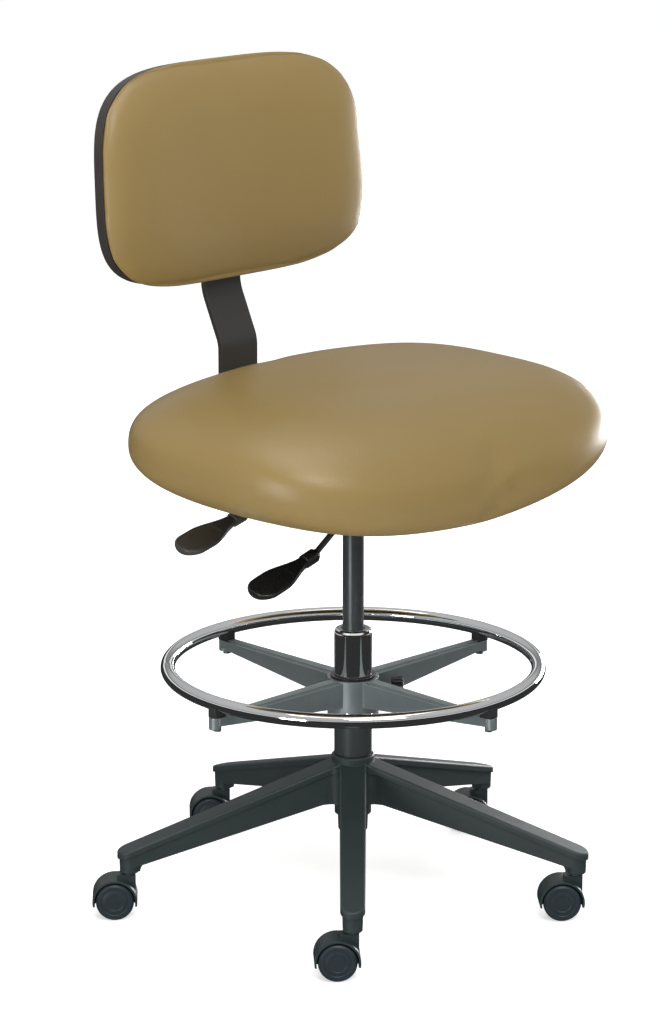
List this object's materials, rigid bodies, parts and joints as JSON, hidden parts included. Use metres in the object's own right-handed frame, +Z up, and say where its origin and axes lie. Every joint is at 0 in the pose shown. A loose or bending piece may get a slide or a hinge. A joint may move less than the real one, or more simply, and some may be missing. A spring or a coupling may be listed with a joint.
{
  "type": "adjustable swivel stool",
  "caption": "Drafting-height swivel stool with a wide upholstered seat, curved backrest on a flat bent bar, chrome foot ring, gas lift and star base on twin-wheel casters.",
  "frame": {"origin": "on the floor, on the column's axis", "axes": "+Z up along the column; the seat faces -Y; +X is to the sitter's left, the levers are on -X"},
  "size_m": [0.6474, 0.6497, 1.0938],
  "materials": {
    "base_nylon": "fine moulded texture",
    "caster_nylon": "fine moulded texture",
    "wheel_nylon": "smooth",
    "column_paint": "satin dark grey",
    "chrome": "polished",
    "cylinder_steel": "satin grey",
    "polished_steel": "ground",
    "zinc_steel": "zinc plated",
    "cast_aluminium": "satin cast",
    "black_plastic": "fine texture",
    "grey_plastic": "fine texture",
    "rubber_pad": "matte",
    "black_steel": "satin powder coat",
    "plywood": "raw",
    "black_cloth": "non-woven",
    "tan_vinyl": "smooth satin vinyl",
    "shell_plastic": "dark brown-black, fine texture"
  },
  "bodies": {
    "base": {"base_casting": "base_nylon", "caster_sockets": "zinc_steel", "column_tube": "column_paint", "column_sleeve": "chrome", "guide_bush": "black_plastic", "column_foot_plate": "zinc_steel", "thrust_bearing": "zinc_steel"},
    "lift_rod": {"piston_rod": "polished_steel", "rod_clip": "zinc_steel"},
    "seat": {"gas_cylinder": "cylinder_steel", "mechanism_housing": "black_steel", "mechanism_pins": "zinc_steel", "seat_plate": "black_steel", "seat_bolts": "zinc_steel", "seat_board": "plywood", "seat_dust_cover": "black_cloth", "seat_cushion": "tan_vinyl"},
    "valve": {"valve_pin": "polished_steel"},
    "height_lever": {"height_lever_rod": "black_steel", "height_lever_paddle": "black_plastic"},
    "back_lever": {"back_lever_rod": "black_steel", "back_lever_paddle": "grey_plastic"},
    "back_arm": {"back_bar": "black_steel"},
    "backrest": {"back_bracket": "black_steel", "back_shell": "shell_plastic", "back_cushion": "tan_vinyl", "back_screws": "zinc_steel"},
    "backrest_knob": {"back_knob": "black_plastic"},
    "footring": {"footring_tube": "chrome", "footring_spider": "cast_aluminium", "footring_bush": "black_plastic", "footring_pads": "rubber_pad", "footring_screws": "zinc_steel"},
    "footring_knob": {"clamp_knob": "black_plastic", "clamp_stud": "zinc_steel"},
    "caster_1": {"caster_1_stem": "zinc_steel", "caster_1_hood": "caster_nylon", "caster_1_axle": "zinc_steel"},
    "caster_1_left": {"caster_1_wheel_left": "wheel_nylon"},
    "caster_1_right": {"caster_1_wheel_right": "wheel_nylon"},
    "caster_2": {"caster_2_stem": "zinc_steel", "caster_2_hood": "caster_nylon", "caster_2_axle": "zinc_steel"},
    "caster_2_left": {"caster_2_wheel_left": "wheel_nylon"},
    "caster_2_right": {"caster_2_wheel_right": "wheel_nylon"},
    "caster_3": {"caster_3_stem": "zinc_steel", "caster_3_hood": "caster_nylon", "caster_3_axle": "zinc_steel"},
    "caster_3_left": {"caster_3_wheel_left": "wheel_nylon"},
    "caster_3_right": {"caster_3_wheel_right": "wheel_nylon"},
    "caster_4": {"caster_4_stem": "zinc_steel", "caster_4_hood": "caster_nylon", "caster_4_axle": "zinc_steel"},
    "caster_4_left": {"caster_4_wheel_left": "wheel_nylon"},
    "caster_4_right": {"caster_4_wheel_right": "wheel_nylon"},
    "caster_5": {"caster_5_stem": "zinc_steel", "caster_5_hood": "caster_nylon", "caster_5_axle": "zinc_steel"},
    "caster_5_left": {"caster_5_wheel_left": "wheel_nylon"},
    "caster_5_right": {"caster_5_wheel_right": "wheel_nylon"}
  },
  "joints": [
    {"name": "caster_1_swivel", "type": "hinge", "parent": "base", "child": "caster_1", "pos_m": [-0.22156, -0.21396, 0.06], "axis": [0, 0, 1], "continuous": true},
    {"name": "caster_1_left_roll", "type": "hinge", "parent": "caster_1", "child": "caster_1_left", "pos_m": [-0.23582, -0.20066, 0.025], "axis": [-0.682, -0.7314, 0], "continuous": true},
    {"name": "caster_1_right_roll", "type": "hinge", "parent": "caster_1", "child": "caster_1_right", "pos_m": [-0.23582, -0.20066, 0.025], "axis": [-0.682, -0.7314, 0], "continuous": true},
    {"name": "caster_2_swivel", "type": "hinge", "parent": "base", "child": "caster_2", "pos_m": [0.13502, -0.27683, 0.06], "axis": [0, 0, 1], "continuous": true},
    {"name": "caster_2_left_roll", "type": "hinge", "parent": "caster_2", "child": "caster_2_left", "pos_m": [0.12076, -0.26353, 0.025], "axis": [-0.682, -0.7314, 0], "continuous": true},
    {"name": "caster_2_right_roll", "type": "hinge", "parent": "caster_2", "child": "caster_2_right", "pos_m": [0.12076, -0.26353, 0.025], "axis": [-0.682, -0.7314, 0], "continuous": true},
    {"name": "caster_3_swivel", "type": "hinge", "parent": "base", "child": "caster_3", "pos_m": [0.305, 0.04287, 0.06], "axis": [0, 0, 1], "continuous": true},
    {"name": "caster_3_left_roll", "type": "hinge", "parent": "caster_3", "child": "caster_3_left", "pos_m": [0.29074, 0.05616, 0.025], "axis": [-0.682, -0.7314, 0], "continuous": true},
    {"name": "caster_3_right_roll", "type": "hinge", "parent": "caster_3", "child": "caster_3_right", "pos_m": [0.29074, 0.05616, 0.025], "axis": [-0.682, -0.7314, 0], "continuous": true},
    {"name": "caster_4_swivel", "type": "hinge", "parent": "base", "child": "caster_4", "pos_m": [0.05348, 0.30332, 0.06], "axis": [0, 0, 1], "continuous": true},
    {"name": "caster_4_left_roll", "type": "hinge", "parent": "caster_4", "child": "caster_4_left", "pos_m": [0.03922, 0.31662, 0.025], "axis": [-0.682, -0.7314, 0], "continuous": true},
    {"name": "caster_4_right_roll", "type": "hinge", "parent": "caster_4", "child": "caster_4_right", "pos_m": [0.03922, 0.31662, 0.025], "axis": [-0.682, -0.7314, 0], "continuous": true},
    {"name": "caster_5_swivel", "type": "hinge", "parent": "base", "child": "caster_5", "pos_m": [-0.27195, 0.1446, 0.06], "axis": [0, 0, 1], "continuous": true},
    {"name": "caster_5_left_roll", "type": "hinge", "parent": "caster_5", "child": "caster_5_left", "pos_m": [-0.28621, 0.1579, 0.025], "axis": [-0.682, -0.7314, 0], "continuous": true},
    {"name": "caster_5_right_roll", "type": "hinge", "parent": "caster_5", "child": "caster_5_right", "pos_m": [-0.28621, 0.1579, 0.025], "axis": [-0.682, -0.7314, 0], "continuous": true},
    {"name": "footring_height", "type": "slide", "parent": "base", "child": "footring", "axis": [0, 0, 1], "range_m": [-0.045, 0.03]},
    {"name": "footring_clamp_turn", "type": "hinge", "parent": "footring", "child": "footring_knob", "pos_m": [0, 0, 0.278], "axis": [0.6947, -0.7193, 0], "range_deg": [0, 360]},
    {"name": "seat_swivel", "type": "hinge", "parent": "base", "child": "lift_rod", "pos_m": [0, 0, 0.1], "axis": [0, 0, 1], "continuous": true},
    {"name": "seat_height", "type": "slide", "parent": "lift_rod", "child": "seat", "axis": [0, 0, 1], "range_m": [-0.1, 0.09]},
    {"name": "height_lever_lift", "type": "hinge", "parent": "seat", "child": "height_lever", "pos_m": [-0.03, -0.052, 0.564], "axis": [0, 1, 0], "range_deg": [0, 4.5], "stiffness_Nm_per_rad": 6, "springref_deg": -2.86},
    {"name": "valve_press", "type": "slide", "parent": "seat", "child": "valve", "axis": [0, 0, -1], "range_m": [0, 0.0025]},
    {"name": "back_lever_lift", "type": "hinge", "parent": "seat", "child": "back_lever", "pos_m": [-0.03, 0.03, 0.564], "axis": [0, 1, 0], "range_deg": [0, 5]},
    {"name": "back_recline", "type": "hinge", "parent": "seat", "child": "back_arm", "pos_m": [0, 0.095, 0.556], "axis": [-1, 0, 0], "range_deg": [-4, 12]},
    {"name": "back_height", "type": "slide", "parent": "back_arm", "child": "backrest", "axis": [0, 0.0872, 0.9962], "range_m": [-0.02, 0.05]},
    {"name": "back_knob_turn", "type": "hinge", "parent": "backrest", "child": "backrest_knob", "pos_m": [0, 0.26857, 0.89845], "axis": [0, 0.9962, -0.0872], "range_deg": [0, 360]}
  ],
  "couplings": [
    {"joint": "valve_press", "follows": "height_lever_lift", "m_per_rad": 0.03}
  ]
}
